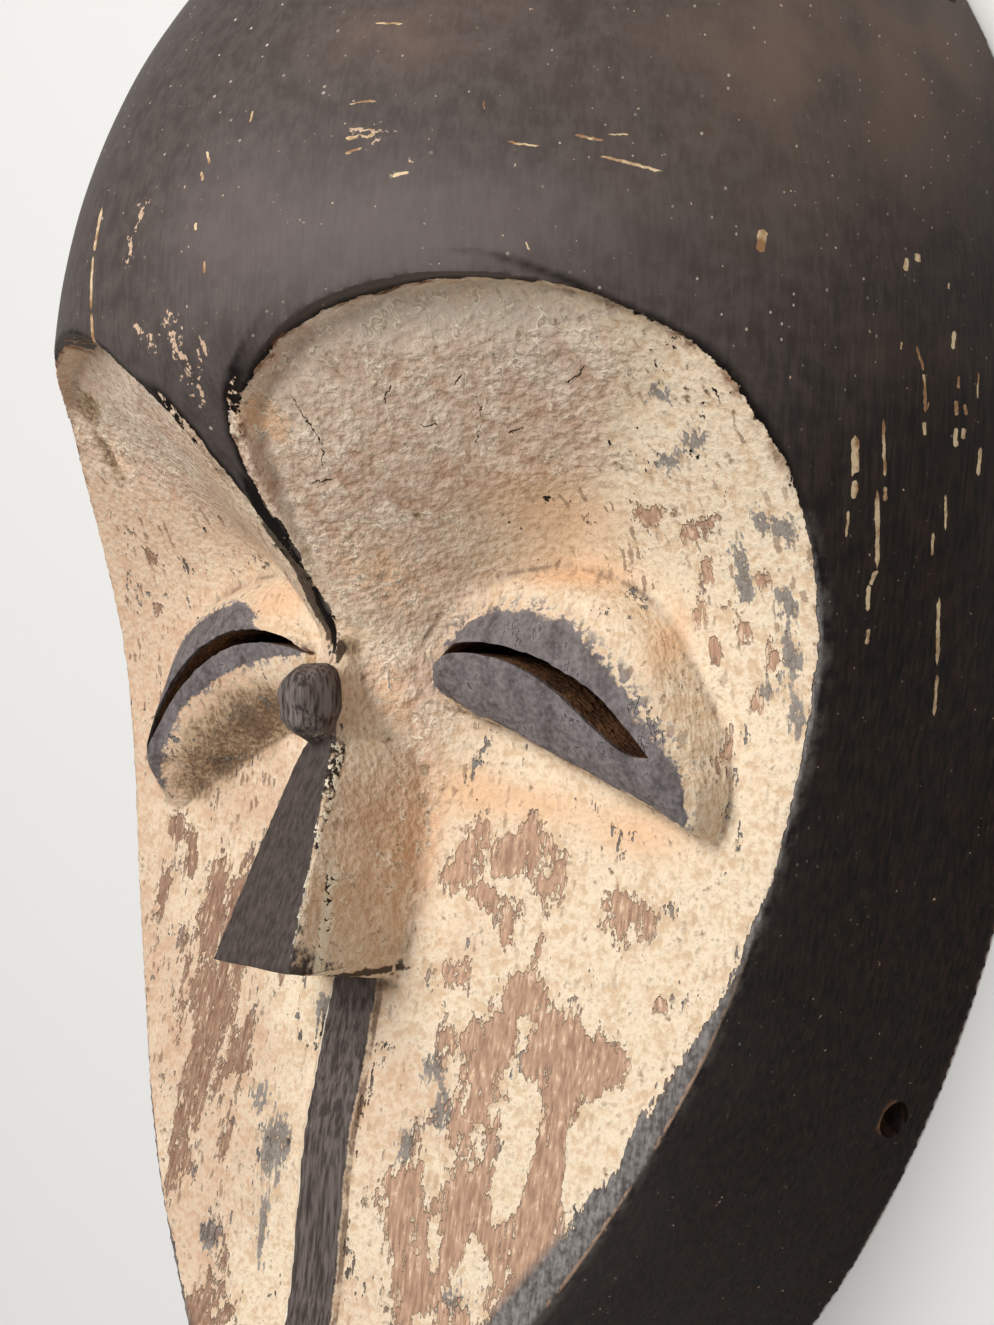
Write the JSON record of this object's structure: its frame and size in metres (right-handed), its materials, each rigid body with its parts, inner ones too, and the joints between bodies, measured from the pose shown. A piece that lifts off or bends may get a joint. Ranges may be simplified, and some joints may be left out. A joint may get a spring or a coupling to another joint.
{
  "type": "carved wooden mask",
  "caption": "Carved wooden mask: white heart-shaped face with slit eyes, wedge nose and striped chin set into a dark domed hood, hollow behind, with small cord holes near the rim",
  "frame": {"origin": "Middle of the bounding box in X and Y, on the plane of the flat back rim", "axes": "+X is the viewer's right when facing the mask, +Y runs from the chin to the crown, +Z comes out of the front of the face"},
  "size_m": [0.19, 0.326, 0.1036],
  "materials": {
    "carved_wood": "dark stained, worn and dusty"
  },
  "bodies": {
    "root": {"mask": "carved_wood"}
  },
  "joints": []
}
